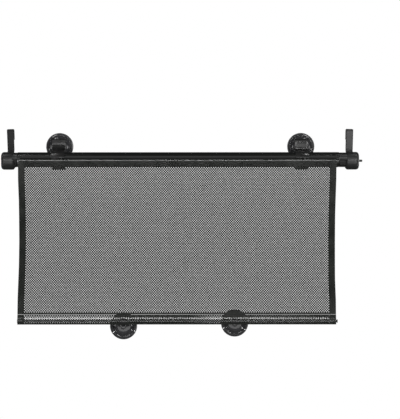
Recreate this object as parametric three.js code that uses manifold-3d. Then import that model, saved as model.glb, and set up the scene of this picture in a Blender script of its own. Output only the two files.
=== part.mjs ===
// Car side window sunshade: a spring roller blind with a perforated film, drawn down.
// Millimetres, +Z up, +X along the roller, +Y towards the window pane.
// The origin lies on the pane, behind the middle of the film, level with the roller's axis.
import * as THREE from 'three';
import { mergeVertices } from 'three/addons/utils/BufferGeometryUtils.js';
import Module from 'manifold-3d';

const wasm = await Module();
wasm.setup();

// Clearances, and how far a cutting or joining solid runs past the face that it meets
const seatGap = 0.3;
const glassPlay = 0.2;
const bite = 1;

// Window pane, and the room between it and the back of the housing
const glassThickness = 5;
const paneRoom = 12.4;

// Film
const filmWidth = 500;
const filmDrop = 241;
const filmThickness = 0.4;
const filmWaist = 2;
const filmBorder = 10;
const perforationColumns = 15;
const perforationRows = 8;
const perforationReach = 6;
const perforationShare = 0.4;

// Roller
const tubeRadius = 7.5;
const tubeWall = 0.8;
const tubeOverhang = 0.6;
const rollTurns = 0.6;
const rollDrift = 2.3;
const plugInsert = 14;
const plugFlange = 1.2;
const journalRadius = 5;
const journalLength = 8;

// Spring motor in the left end of the tube
const shaftRadius = 2;
const shaftSquare = 3.4;
const shaftKeyLength = 10;
const coilWire = 0.9;
const coilRadius = 4;
const coilPitch = 4;
const coilTurns = 13;
const collarLength = 6;

// Brake in the right end of the tube
const journalWall = 1.1;
const brakeTaper = 1;
const brakeLength = 3.5;
const brakeChamber = 12.5;
const buttonTravel = 3.2;
const buttonReach = 5.8;
const buttonRadius = 1.8;
const buttonChamfer = 0.55;
const shankSide = 2.4;
const brakeWire = 0.5;
const brakeCoilTurns = 5;

// Housing rail, an open C over the roller
const rollRoom = 3.9;
const railWall = 1.3;
const railFrontAngle = 20;
const railBackAngle = 228;
const ribAngle = 29;
const ribSpan = 5;
const ribBevel = 1;
const ribHeight = 0.5;

// End caps
const capStep = 0.25;
const capLength = 19;
const capCorner = 4;
const capGapLeft = 7.6;
const capGapRight = 16.3;
const spigotPlay = 2.4;
const spigotRibWidth = 2;
const spigotRibAngles = [60, 120, 180];

// Hooks over the top edge of the pane
const hookWidth = 11.4;
const hookThickness = 1.6;
const hookTop = 51.4;
const hookLeg = 12;
const hookRamp = 40;
const hookRootAngle = 150;
const hookFootRadius = 5;
const hookTongueWidth = 8;
const hookTongueDepth = 5;
const hookInset = 6.1;
const hookLeanLeft = -2;
const hookLeanRight = 1.5;

// Suction cups
const cupRadius = 21.6;
const cupRim = 1.5;
const cupHeight = 9.7;
const cupHollow = 4.5;
const cupHollowPower = 1.5;
const cupSkirtHeight = 2.6;
const cupDomeRadius = 16.3;
const cupGrooveWidth = 1;
const cupGrooveHeight = 1.9;
const cupNeckRadius = 3;
const cupHeadRadius = 4;
const cupHeadLength = 2.5;
const cupHeadChamfer = 1;
const holderPlate = 2.5;

// Brackets that clip round the housing and carry the top cups
const bracketInsetLeft = 62.7;
const bracketInsetRight = 54;
const bracketWidth = 21.2;
const bracketWall = 1.5;
const bracketAboveCup = 10;
const bracketDepth = 9.5;
const bracketBevel = 1.1;
const bracketBevelDrop = 4.4;
const bracketFrontAngle = 15;
const bracketBackAngle = 238;
const nibPlay = 1.6;
const bracketPanelDepth = 2.2;
const bracketPanelMargin = 3.4;
const topCupZ = 23.4;

// Hem of the film and the rod in it
const hemBand = 7.6;
const hemLip = 2.5;
const hemFlat = 0.9;
const hemWall = 0.5;
const rodRadius = 2;
const rodEndInset = 6;
const rodPlugFlange = 1;

// Clips that hold the bottom cups on the rod
const clipInsetLeft = 164;
const clipInsetRight = 159.4;
const clipWidth = 7.8;
const clipWall = 2;
const clipMouth = 3.2;
const clipArm = 3;
const clipArmBite = 0.5;
const clipEyeWall = 1.7;
const cupDropLeft = 9.8;
const cupDropRight = 5.5;

// Fineness of round stretches
const roundSegments = 24;
const tipSegments = 16;
const curveSteps = 6;
const cornerSteps = 4;
const cupSteps = 5;
const wireSides = 3;
const stepsPerTurn = 8;
const arcStep = 9;

// Sizes and places worked out from the sizes above, with the roller's axis at axisY, z = 0
const rollInner = tubeRadius + seatGap;
const rollOuter = rollInner + rollTurns;
const railInner = rollOuter + rollRoom;
const railRadius = railInner + railWall;
const capRadius = railRadius + capStep;
const spigotRadius = railInner - spigotPlay;
const axisY = -railRadius - paneRoom;
const filmLeft = -filmWidth / 2;
const filmRight = filmWidth / 2;
const filmY = axisY - rollOuter - seatGap - filmThickness / 2;
const tubeInner = tubeRadius - tubeWall;
const tubeLeft = filmLeft - tubeOverhang;
const tubeRight = filmRight + rollDrift + tubeOverhang;
const capFaceLeft = filmLeft - capGapLeft;
const capFaceRight = filmRight + capGapRight;
const capEndRight = capFaceRight + capLength;
const flangeLeft = tubeLeft - seatGap - plugFlange;
const flangeRight = tubeRight + seatGap + plugFlange;
const journalEndLeft = flangeLeft - journalLength;
const journalEndRight = flangeRight + journalLength;
const journalBore = journalRadius + seatGap;
const brakeRadius = journalRadius - journalWall - seatGap;
const topCups = [
  { side: 'left', x: filmLeft + bracketInsetLeft },
  { side: 'right', x: filmRight - bracketInsetRight },
];
const bracketTop = topCupZ + bracketAboveCup;
const cupNeckLength = holderPlate + 2 * seatGap;
const plateBackY = -cupHeight - seatGap;
const plateFrontY = plateBackY - holderPlate;
const hemTop = -filmDrop - seatGap;
const rodBore = rodRadius + seatGap;
const hemPocket = rodBore + hemWall;
const rodZ = hemTop - hemBand - hemPocket;
const hemBottom = rodZ - hemPocket - hemLip;
const clipRing = rodBore + clipWall;
const bottomCups = [
  { side: 'left', x: filmLeft + clipInsetLeft, z: rodZ - cupDropLeft },
  { side: 'right', x: filmRight - clipInsetRight, z: rodZ - cupDropRight },
];
const rodEnd = filmRight - rodEndInset;

const radians = THREE.MathUtils.degToRad;

// Bases that send a drawing or a lathe onto the model's axes
const sectionAlongX = new THREE.Matrix4().makeBasis(
  new THREE.Vector3(0, 1, 0),
  new THREE.Vector3(0, 0, 1),
  new THREE.Vector3(1, 0, 0),
);
const latheAlongX = new THREE.Matrix4().makeBasis(
  new THREE.Vector3(0, 0, 1),
  new THREE.Vector3(1, 0, 0),
  new THREE.Vector3(0, 1, 0),
);
const sheetAlongY = new THREE.Matrix4().makeBasis(
  new THREE.Vector3(1, 0, 0),
  new THREE.Vector3(0, 0, 1),
  new THREE.Vector3(0, -1, 0),
);

// Merges equal corners, drops triangles without area and turns all faces outwards.
function closed(geometry) {
  const plain = geometry.clone();
  plain.deleteAttribute('normal');
  plain.deleteAttribute('uv');
  const merged = mergeVertices(plain, 1e-4);
  const position = merged.attributes.position;
  const source = merged.index.array;
  const a = new THREE.Vector3();
  const b = new THREE.Vector3();
  const c = new THREE.Vector3();
  const corners = [];
  let volume = 0;
  for (let i = 0; i < source.length; i += 3) {
    const [p, q, r] = [source[i], source[i + 1], source[i + 2]];
    if (p !== q && q !== r && r !== p) {
      corners.push([p, q, r]);
      a.fromBufferAttribute(position, p);
      b.fromBufferAttribute(position, q);
      c.fromBufferAttribute(position, r);
      volume += a.dot(b.cross(c));
    }
  }
  if (volume < 0) {
    corners.forEach((corner) => corner.reverse());
  }
  merged.setIndex(corners.flat());
  return merged;
}

function toManifold(geometry) {
  const solid = closed(geometry);
  return new wasm.Manifold(new wasm.Mesh({
    numProp: 3,
    vertProperties: new Float32Array(solid.attributes.position.array),
    triVerts: new Uint32Array(solid.index.array),
  }));
}

function fromManifold(solid) {
  const mesh = solid.getMesh();
  const geometry = new THREE.BufferGeometry();
  geometry.setAttribute('position', new THREE.BufferAttribute(mesh.vertProperties, 3));
  geometry.setIndex(Array.from(mesh.triVerts));
  return geometry;
}

function join(first, ...others) {
  return fromManifold(others.reduce((sum, part) => sum.add(toManifold(part)), toManifold(first)));
}

function cut(first, ...others) {
  return fromManifold(others.reduce((rest, part) => rest.subtract(toManifold(part)), toManifold(first)));
}

// A section drawn in y, z and extruded from x0 to x1
function alongX(shape, x0, x1) {
  const geometry = new THREE.ExtrudeGeometry(shape, {
    depth: x1 - x0,
    bevelEnabled: false,
    curveSegments: curveSteps,
  });
  return geometry.applyMatrix4(sectionAlongX).translate(x0, 0, 0);
}

// An outline drawn in x, z and given thickness from y0 to y1
function alongY(shape, y0, y1) {
  const geometry = new THREE.ExtrudeGeometry(shape, {
    depth: y1 - y0,
    bevelEnabled: false,
    curveSegments: curveSteps,
  });
  return geometry.applyMatrix4(sheetAlongY).translate(0, y1, 0);
}

// A profile of [radius, x] pairs turned round the roller's axis
function turned(profile, segments = roundSegments) {
  const points = profile.map(([radius, x]) => new THREE.Vector2(radius, x));
  return new THREE.LatheGeometry(points, segments).applyMatrix4(latheAlongX).translate(0, axisY, 0);
}

// A plain round bar on the x axis direction, centred on y, z
function bar(radius, x0, x1, y = axisY, z = 0) {
  return new THREE.CylinderGeometry(radius, radius, x1 - x0, roundSegments)
    .applyMatrix4(latheAlongX)
    .translate((x0 + x1) / 2, y, z);
}

// A round bar that points at the pane, centred on x, z
function stud(radius, y0, y1, x, z) {
  return new THREE.CylinderGeometry(radius, radius, y1 - y0, roundSegments)
    .translate(x, (y0 + y1) / 2, z);
}

function block(x0, x1, y0, y1, z0, z1) {
  return new THREE.BoxGeometry(x1 - x0, y1 - y0, z1 - z0)
    .translate((x0 + x1) / 2, (y0 + y1) / 2, (z0 + z1) / 2);
}

// A point at an angle round the roller: 0 faces the cabin, 90 is up, 180 faces the pane.
function aroundRoller(radius, angle) {
  const turn = radians(angle);
  return new THREE.Vector2(axisY - radius * Math.cos(turn), radius * Math.sin(turn));
}

function arcPoints(radius, from, to) {
  const steps = Math.max(1, Math.round(Math.abs(to - from) / arcStep));
  const points = [];
  for (let i = 0; i <= steps; i += 1) {
    points.push(aroundRoller(radius, from + ((to - from) * i) / steps));
  }
  return points;
}

// An even strip along a path
function strip(path, thickness) {
  const middle = path.getPoints(curveSteps).filter((point, i, all) => i === 0 || !point.equals(all[i - 1]));
  const side = (sign) => middle.map((point, i) => {
    const before = middle[Math.max(i - 1, 0)];
    const after = middle[Math.min(i + 1, middle.length - 1)];
    const run = after.clone().sub(before).setLength((sign * thickness) / 2);
    return new THREE.Vector2(point.x - run.y, point.y + run.x);
  });
  return new THREE.Shape([...side(-1), ...side(1).reverse()]);
}

// A round wire wound round the roller's axis from x0 to x1
function coil(x0, x1, radius, wire, turns) {
  class Helix extends THREE.Curve {
    getPoint(t, target = new THREE.Vector3()) {
      const angle = 2 * Math.PI * turns * t;
      return target.set(
        x0 + wire / 2 + (x1 - x0 - wire) * t,
        axisY + radius * Math.cos(angle),
        radius * Math.sin(angle),
      );
    }
  }
  const section = new THREE.Shape();
  section.absarc(0, 0, wire / 2, 0, 2 * Math.PI, false);
  return new THREE.ExtrudeGeometry(section, {
    extrudePath: new Helix(),
    steps: turns * stepsPerTurn,
    curveSegments: wireSides,
    bevelEnabled: false,
  });
}

// Housing rail with one raised rib along its front lip
function housing() {
  const ribLow = ribAngle - ribSpan / 2;
  const ribHigh = ribAngle + ribSpan / 2;
  const section = new THREE.Shape([
    ...arcPoints(railRadius, railFrontAngle, ribLow),
    ...arcPoints(railRadius + ribHeight, ribLow + ribBevel, ribHigh - ribBevel),
    ...arcPoints(railRadius, ribHigh, railBackAngle),
    ...arcPoints(railInner, railBackAngle, railFrontAngle),
  ]);
  return alongX(section, capFaceLeft + seatGap, capFaceRight - seatGap);
}

// Rounded cap body and the spigot that fills the open end of the housing. The ribs seat the rail.
function capBody(face, end, spigotEnd) {
  const outward = Math.sign(end - face);
  const profile = [[0, spigotEnd], [spigotRadius, spigotEnd], [spigotRadius, face], [capRadius, face]];
  for (let i = 0; i <= cornerSteps; i += 1) {
    const angle = ((Math.PI / 2) * i) / cornerSteps;
    profile.push([
      capRadius - capCorner + capCorner * Math.cos(angle),
      end - outward * (capCorner - capCorner * Math.sin(angle)),
    ]);
  }
  profile.push([0, end]);
  const ribs = spigotRibAngles.map((angle) => {
    const height = railInner - seatGap - spigotRadius / 2;
    return new THREE.BoxGeometry(Math.abs(face - spigotEnd), spigotRibWidth, height)
      .translate(0, 0, spigotRadius / 2 + height / 2)
      .rotateX(radians(90 - angle))
      .translate((face + spigotEnd) / 2, axisY, 0);
  });
  return join(turned(profile), ...ribs);
}

// Side view of a hook: a ramp out of the cap, up the pane, over its edge and down outside
function hookPaths() {
  const ramp = radians(hookRamp);
  const run = new THREE.Vector2(Math.cos(ramp), Math.sin(ramp));
  const upright = -hookThickness / 2;
  const surface = aroundRoller(capRadius + seatGap + hookThickness / 2, hookRootAngle);
  const root = surface.clone().addScaledVector(run, -hookTongueDepth - seatGap);
  const corner = new THREE.Vector2(upright, surface.y + (upright - surface.x) * Math.tan(ramp));
  const tangent = hookFootRadius * Math.tan((Math.PI / 2 - ramp) / 2);
  const bendRadius = (glassThickness + glassPlay + hookThickness) / 2;
  const bendZ = hookTop - bendRadius - hookThickness / 2;
  const tongue = new THREE.Path();
  tongue.moveTo(root.x, root.y);
  tongue.lineTo(surface.x + run.x * bite, surface.y + run.y * bite);
  const strap = new THREE.Path();
  strap.moveTo(surface.x, surface.y);
  strap.lineTo(corner.x - run.x * tangent, corner.y - run.y * tangent);
  strap.absarc(upright - hookFootRadius, corner.y + tangent, hookFootRadius, ramp - Math.PI / 2, 0, false);
  strap.lineTo(upright, bendZ);
  strap.absarc(upright + bendRadius, bendZ, bendRadius, Math.PI, 0, true);
  strap.lineTo(upright + 2 * bendRadius, bendZ - hookLeg);
  return { tongue, strap };
}

function hookSolid(x) {
  const { tongue, strap } = hookPaths();
  return join(
    alongX(strip(strap, hookThickness), x - hookWidth / 2, x + hookWidth / 2),
    alongX(strip(tongue, hookThickness), x - hookTongueWidth / 2, x + hookTongueWidth / 2),
  );
}

// The slot that takes the tongue, with its clearance all round
function hookSlot(x) {
  const { tongue } = hookPaths();
  const [start, end] = [tongue.getPoint(0), tongue.getPoint(1)];
  const run = end.clone().sub(start).normalize();
  const slot = new THREE.Path();
  slot.moveTo(start.x - run.x * seatGap, start.y - run.y * seatGap);
  slot.lineTo(end.x + run.x * hookThickness, end.y + run.y * hookThickness);
  const half = hookTongueWidth / 2 + seatGap;
  return alongX(strip(slot, hookThickness + 2 * seatGap), x - half, x + half);
}

// Leans a hook and its slot together, about the root of the hook
function leaned(geometry, x, lean) {
  return geometry.translate(-x, 0, 0).rotateY(radians(lean)).translate(x, 0, 0);
}

const hookLeftX = capFaceLeft - hookInset;
const hookRightX = capFaceRight + hookInset;

function endCapLeft() {
  const body = capBody(capFaceLeft, capFaceLeft - capLength, flangeLeft - seatGap);
  const socket = shaftSquare / 2 + seatGap;
  const journal = bar(journalBore, journalEndLeft - seatGap, flangeLeft);
  const keyEnd = journalEndLeft - shaftKeyLength - 2 * seatGap;
  const key = block(keyEnd, journalEndLeft, axisY - socket, axisY + socket, -socket, socket);
  return cut(body, journal, key, leaned(hookSlot(hookLeftX), hookLeftX, hookLeanLeft));
}

function endCapRight() {
  const body = capBody(capFaceRight, capEndRight, flangeRight + seatGap);
  const guide = shankSide / 2 + seatGap;
  const tipBore = buttonTravel + 2 * buttonRadius;
  const journal = bar(journalBore, flangeRight, journalEndRight + seatGap);
  const shank = block(journalEndRight, capEndRight, axisY - guide, axisY + guide, -guide, guide);
  const tip = bar(buttonRadius + seatGap, capEndRight - tipBore, capEndRight + bite);
  return cut(body, journal, shank, tip, leaned(hookSlot(hookRightX), hookRightX, hookLeanRight));
}

function rollerTube() {
  return turned([
    [tubeInner, tubeLeft],
    [tubeRadius, tubeLeft],
    [tubeRadius, tubeRight],
    [tubeInner, tubeRight],
    [tubeInner, tubeLeft],
  ]);
}

// The turns of film that stay on the tube, a little telescoped at the right
function filmRoll() {
  return turned([
    [rollInner, filmLeft],
    [rollOuter, filmLeft],
    [rollOuter, filmRight + rollDrift],
    [rollInner, filmRight + rollDrift],
    [rollInner, filmLeft],
  ]);
}

// Turns on the spring shaft and drives the tube
function springPlug() {
  const bore = shaftRadius + seatGap;
  const insert = tubeInner - seatGap;
  return turned([
    [bore, journalEndLeft],
    [journalRadius, journalEndLeft],
    [journalRadius, flangeLeft],
    [tubeRadius, flangeLeft],
    [tubeRadius, tubeLeft - seatGap],
    [insert, tubeLeft - seatGap],
    [insert, tubeLeft + plugInsert],
    [bore, tubeLeft + plugInsert],
    [bore, journalEndLeft],
  ]);
}

const seatStart = journalEndRight - brakeLength;
const chamberRadius = brakeRadius + seatGap;
const chamberFloor = seatStart - brakeChamber;

// Turns in the right cap. Its conical seat takes the brake cone.
function brakePlug() {
  const insert = tubeInner - seatGap;
  const insertEnd = chamberFloor - 2 * brakeTaper;
  return turned([
    [0, insertEnd],
    [insert, insertEnd],
    [insert, tubeRight + seatGap],
    [tubeRadius, tubeRight + seatGap],
    [tubeRadius, flangeRight],
    [journalRadius, flangeRight],
    [journalRadius, journalEndRight],
    [chamberRadius - brakeTaper, journalEndRight],
    [chamberRadius, seatStart],
    [chamberRadius, chamberFloor],
    [0, chamberFloor],
  ]);
}

function brakeCone() {
  const hole = shankSide / 2 + seatGap / 2;
  const near = seatStart + seatGap;
  const cone = turned([
    [0, near],
    [brakeRadius, near],
    [brakeRadius - brakeTaper, journalEndRight],
    [0, journalEndRight],
  ]);
  return cut(cone, block(near - bite, journalEndRight + bite, axisY - hole, axisY + hole, -hole, hole));
}

function brakeSpring() {
  const radius = chamberRadius - brakeWire - seatGap;
  return coil(chamberFloor + seatGap, seatStart, radius, brakeWire, brakeCoilTurns);
}

// Square shank through the brake cone and the cap, with a round tip outside
function releaseButton() {
  const half = shankSide / 2;
  const tipStart = capEndRight - buttonRadius;
  const shank = block(seatStart + seatGap, tipStart + bite, axisY - half, axisY + half, -half, half);
  const tip = turned([
    [0, tipStart],
    [buttonRadius, tipStart],
    [buttonRadius, capEndRight + buttonReach - buttonChamfer],
    [buttonRadius - buttonChamfer, capEndRight + buttonReach],
    [0, capEndRight + buttonReach],
  ], tipSegments);
  return join(shank, tip);
}

const coilStart = tubeLeft + plugInsert + seatGap;
const coilEnd = coilStart + coilPitch * coilTurns;
const collarStart = coilEnd + seatGap;

// Held still by its square end in the left cap
function springShaft() {
  const half = shaftSquare / 2;
  const squareEnd = journalEndLeft - seatGap;
  return join(
    bar(shaftRadius, squareEnd - bite, collarStart + collarLength),
    block(squareEnd - shaftKeyLength, squareEnd, axisY - half, axisY + half, -half, half),
  );
}

function springCollar() {
  const bore = shaftRadius + seatGap;
  const rim = tubeInner - seatGap;
  return turned([
    [bore, collarStart],
    [rim, collarStart],
    [rim, collarStart + collarLength],
    [bore, collarStart + collarLength],
    [bore, collarStart],
  ]);
}

// C-clip round the rail, with a nib under each lip
function bracketRing(x0, x1) {
  const ribTop = ribAngle + ribSpan;
  const snug = railRadius + seatGap;
  const overRib = snug + ribHeight;
  const outer = overRib + bracketWall;
  const frontNib = railFrontAngle - nibPlay;
  const backNib = railBackAngle + nibPlay;
  return alongX(new THREE.Shape([
    ...arcPoints(outer, bracketFrontAngle, bracketBackAngle),
    aroundRoller(railInner, bracketBackAngle),
    aroundRoller(railInner, backNib),
    aroundRoller(snug, backNib),
    ...arcPoints(snug, railBackAngle, ribTop),
    ...arcPoints(overRib, ribTop - ribBevel, frontNib),
    aroundRoller(railInner, frontNib),
    aroundRoller(railInner, bracketFrontAngle),
  ]), x0, x1);
}

// The upright box on the clip, with the head of the cup snapped in from behind
function cupBracket(x) {
  const [left, right] = [x - bracketWidth / 2, x + bracketWidth / 2];
  const front = plateBackY - bracketDepth;
  const box = alongX(new THREE.Shape([
    new THREE.Vector2(plateBackY, 0),
    new THREE.Vector2(plateBackY, bracketTop),
    new THREE.Vector2(front + bracketBevel, bracketTop),
    new THREE.Vector2(front, bracketTop - bracketBevelDrop),
    new THREE.Vector2(front, 0),
  ]), left, right);
  const railRoom = bar(railRadius + ribHeight + seatGap + bracketWall / 2, left - bite, right + bite);
  const neck = stud(cupNeckRadius + seatGap, plateFrontY - bite, plateBackY + bite, x, topCupZ);
  const chamber = stud(
    cupHeadRadius + seatGap,
    plateFrontY - cupHeadLength - 2 * seatGap,
    plateFrontY,
    x,
    topCupZ,
  );
  const panel = block(
    left + bracketPanelMargin,
    right - bracketPanelMargin,
    front - bite,
    front + bracketPanelDepth,
    railRadius + bracketPanelMargin,
    bracketTop - 2 * bracketPanelMargin,
  );
  return cut(join(cut(box, railRoom), bracketRing(left, right)), neck, chamber, panel);
}

// Suction cup with its axis square to the pane, which lies at y = 0
function suctionCup() {
  const headBase = cupHeight + cupNeckLength - seatGap / 2;
  const headTop = headBase + cupHeadLength;
  const hollowRadius = cupRadius - cupRim;
  const profile = [];
  for (let i = 0; i < cupSteps; i += 1) {
    const share = i / cupSteps;
    profile.push([share * hollowRadius, cupHollow * (1 - share ** cupHollowPower)]);
  }
  profile.push(
    [hollowRadius, 0],
    [cupRadius, 0],
    [cupRadius, cupRim - seatGap],
    [hollowRadius, cupRim],
    [cupDomeRadius + cupGrooveWidth, cupSkirtHeight],
  );
  for (let i = 0; i <= cupSteps; i += 1) {
    const turn = ((Math.PI / 2) * i) / cupSteps;
    profile.push([
      cupNeckRadius + (cupDomeRadius - cupNeckRadius) * Math.cos(turn),
      cupGrooveHeight + (cupHeight - cupGrooveHeight) * Math.sin(turn),
    ]);
  }
  profile.push(
    [cupNeckRadius, headBase],
    [cupHeadRadius, headBase],
    [cupHeadRadius, headTop - cupHeadChamfer],
    [cupHeadRadius - cupHeadChamfer, headTop],
    [0, headTop],
  );
  const points = profile.map(([radius, height]) => new THREE.Vector2(radius, -height));
  return new THREE.LatheGeometry(points, roundSegments);
}

// Hanging part of the film. The coarse staggered holes stand for the fine perforation.
function screenFilm() {
  const shape = new THREE.Shape();
  shape.moveTo(filmLeft, 0);
  shape.quadraticCurveTo(filmLeft + 2 * filmWaist, -filmDrop / 2, filmLeft, -filmDrop);
  shape.lineTo(filmRight, -filmDrop);
  shape.quadraticCurveTo(filmRight - 2 * filmWaist, -filmDrop / 2, filmRight, 0);
  const fieldTop = railRadius;
  const stepX = (filmWidth - 2 * (filmBorder + filmWaist)) / (perforationColumns + 0.5);
  const stepZ = (filmDrop - fieldTop) / perforationRows;
  const reach = Math.min(perforationReach, perforationShare * stepX, perforationShare * stepZ);
  for (let row = 0; row < perforationRows; row += 1) {
    for (let column = 0; column < perforationColumns; column += 1) {
      const x = filmLeft + filmBorder + filmWaist + stepX * (column + 0.5 + 0.5 * (row % 2));
      const z = -fieldTop - stepZ * (row + 0.5);
      shape.holes.push(new THREE.Path([
        new THREE.Vector2(x - reach, z),
        new THREE.Vector2(x, z - reach),
        new THREE.Vector2(x + reach, z),
        new THREE.Vector2(x, z + reach),
      ]));
    }
  }
  return alongY(shape, filmY - filmThickness / 2, filmY + filmThickness / 2);
}

// Foot of the arm that runs from a clip's ring back to a cup. It passes over the cup's head.
function armFoot(cupZ) {
  return Math.max(cupZ + cupHeadRadius + bite, rodZ - clipRing + clipArmBite);
}

// Hem welded flat above and below the pocket of the rod, notched where the clips grip
function hemSleeve() {
  const flat = hemFlat / 2;
  const meet = Math.acos(flat / hemPocket);
  const section = new THREE.Shape();
  section.moveTo(filmY + flat, hemTop);
  section.lineTo(filmY - flat, hemTop);
  section.absarc(filmY, rodZ, hemPocket, Math.PI - meet, Math.PI + meet, false);
  section.lineTo(filmY - flat, hemBottom);
  section.lineTo(filmY + flat, hemBottom);
  section.absarc(filmY, rodZ, hemPocket, -meet, meet, false);
  section.closePath();
  const bore = new THREE.Path();
  bore.absarc(filmY, rodZ, rodBore, 0, 2 * Math.PI, true);
  section.holes.push(bore);
  const half = clipWidth / 2 + seatGap;
  const reach = hemPocket + bite;
  const notches = bottomCups.map(({ x, z }) => block(
    x - half,
    x + half,
    filmY - reach,
    filmY + reach,
    hemBottom - bite,
    Math.max(rodZ + clipRing, armFoot(z) + clipArm) + seatGap,
  ));
  return cut(alongX(section, filmLeft, filmRight), ...notches);
}

// Moulded plug that closes one end of the hem
function rodPlug(side) {
  const face = filmRight + seatGap;
  const plug = join(
    bar(rodRadius, rodEnd + seatGap, face, filmY, rodZ),
    bar(hemPocket, face, face + rodPlugFlange, filmY, rodZ),
  );
  return side < 0 ? plug.rotateZ(Math.PI).translate(0, 2 * filmY, 0) : plug;
}

// Snap ring on the rod, an arm back to the pane and an eye round the neck of the cup
function hemClip({ x, z }) {
  const [left, right] = [x - clipWidth / 2, x + clipWidth / 2];
  const eye = cupNeckRadius + seatGap + clipEyeWall;
  const armZ = armFoot(z);
  const armTop = armZ + clipArm;
  const mouth = clipMouth / 2;
  return cut(
    join(
      bar(clipRing, left, right, filmY, rodZ),
      block(left, right, filmY + rodBore, plateBackY, armZ, armTop),
      block(left, right, plateFrontY, plateBackY, z, armTop),
      stud(eye, plateFrontY, plateBackY, x, z),
    ),
    bar(rodBore, left - bite, right + bite, filmY, rodZ),
    block(left - bite, right + bite, filmY - mouth, filmY + mouth, rodZ - clipRing - bite, rodZ),
    stud(cupNeckRadius + seatGap, plateFrontY - bite, plateBackY + bite, x, z),
  );
}

function surface(color, roughness, metalness = 0) {
  return new THREE.MeshStandardMaterial({ color, roughness, metalness });
}

const blackGloss = surface(0x1b1c1c, 0.35);
const blackSatin = surface(0x222423, 0.5);
const blackRubber = surface(0x303032, 0.25);
const blackFilm = surface(0x1a1c1a, 0.55);
const steel = surface(0x8c8f92, 0.35, 1);
const blackNylon = surface(0x222222, 0.5);

const sunshade = new THREE.Group();

function addPiece(name, geometry, material, x = 0, y = 0, z = 0) {
  const mesh = new THREE.Mesh(closed(geometry), material);
  mesh.name = name;
  mesh.position.set(x, y, z);
  sunshade.add(mesh);
}

addPiece('housing', housing(), blackSatin);
addPiece('end_cap_left', endCapLeft(), blackGloss);
addPiece('end_cap_right', endCapRight(), blackGloss);
addPiece('hook_left', leaned(hookSolid(hookLeftX), hookLeftX, hookLeanLeft), blackSatin);
addPiece('hook_right', leaned(hookSolid(hookRightX), hookRightX, hookLeanRight), blackSatin);

for (const cup of topCups) {
  addPiece(`cup_bracket_${cup.side}`, cupBracket(cup.x), blackGloss);
  addPiece(`top_cup_${cup.side}`, suctionCup(), blackRubber, cup.x, 0, topCupZ);
}

addPiece('roller_tube', rollerTube(), steel);
addPiece('film_roll', filmRoll(), blackFilm);
addPiece('spring_plug', springPlug(), blackNylon);
addPiece('spring_shaft', springShaft(), steel);
addPiece('return_spring', coil(coilStart, coilEnd, coilRadius, coilWire, coilTurns), steel);
addPiece('spring_collar', springCollar(), blackNylon);
addPiece('brake_plug', brakePlug(), blackNylon);
addPiece('brake_cone', brakeCone(), blackRubber);
addPiece('brake_spring', brakeSpring(), steel);
addPiece('release_button', releaseButton(), blackGloss);

addPiece('screen_film', screenFilm(), blackFilm);
addPiece('hem_sleeve', hemSleeve(), blackFilm);
addPiece('hem_rod', bar(rodRadius, -rodEnd, rodEnd, filmY, rodZ), steel);
addPiece('rod_plug_left', rodPlug(-1), blackSatin);
addPiece('rod_plug_right', rodPlug(1), blackSatin);

for (const cup of bottomCups) {
  addPiece(`hem_clip_${cup.side}`, hemClip(cup), blackGloss);
  addPiece(`bottom_cup_${cup.side}`, suctionCup(), blackRubber, cup.x, 0, cup.z);
}

export default sunshade;
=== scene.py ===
import math

import bmesh
import bpy
import numpy as np
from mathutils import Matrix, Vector


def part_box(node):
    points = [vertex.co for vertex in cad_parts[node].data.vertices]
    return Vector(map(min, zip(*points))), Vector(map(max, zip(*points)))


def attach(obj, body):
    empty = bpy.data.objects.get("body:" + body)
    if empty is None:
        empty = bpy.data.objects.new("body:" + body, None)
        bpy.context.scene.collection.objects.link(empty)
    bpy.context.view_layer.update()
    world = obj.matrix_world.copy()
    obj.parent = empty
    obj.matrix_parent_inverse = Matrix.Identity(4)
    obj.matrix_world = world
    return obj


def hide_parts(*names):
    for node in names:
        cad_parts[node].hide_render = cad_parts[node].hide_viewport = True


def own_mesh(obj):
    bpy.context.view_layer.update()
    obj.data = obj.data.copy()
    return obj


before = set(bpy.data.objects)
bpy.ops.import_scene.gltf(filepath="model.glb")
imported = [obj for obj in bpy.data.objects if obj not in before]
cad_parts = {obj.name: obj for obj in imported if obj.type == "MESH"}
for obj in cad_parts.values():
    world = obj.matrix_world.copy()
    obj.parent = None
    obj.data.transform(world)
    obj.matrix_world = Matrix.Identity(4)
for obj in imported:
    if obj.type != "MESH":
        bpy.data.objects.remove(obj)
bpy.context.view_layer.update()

# Camera, matched to the photograph: how far it stands from the roller's axis, and where it looks
CAMERA_DISTANCE = 2.4
CAMERA_X = 0.03567
CAMERA_Z = -0.07665
CAMERA_ROLL = math.radians(0.03)
VIEW_WIDTH = 0.6296
SENSOR_WIDTH = 36

# Film
HOLE_DIAMETER = 0.0013
HOLE_PITCH_X = 0.003672
HOLE_PITCH_Z = 0.003934
FILM_BORDER = 0.0101

# How far the film's edges lie inside its full width, at depths below the roller's axis
EDGE_DEPTHS = [0, 0.030, 0.062, 0.085, 0.125, 0.164, 0.187, 0.219, 0.234, 0.250]
EDGE_LEFT = [0.0002, 0.0003, 0.0015, 0.0019, 0.0022, 0.0016, 0.0007, -0.0005, -0.0007, -0.0009]
EDGE_RIGHT = [0.0001, 0.0005, 0.0016, 0.0023, 0.0027, 0.0027, 0.0025, 0.0013, 0.0012, 0.0009]

# Studio: how bright the walls' ring of light is, and how far down the floor lies
RING_LIGHT = 0.8
FLOOR_Z = -1.1

ROUND_STEPS = 96
EDGE = 0.0003


def lerp(a, b, t):
    return a + (b - a) * t


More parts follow.
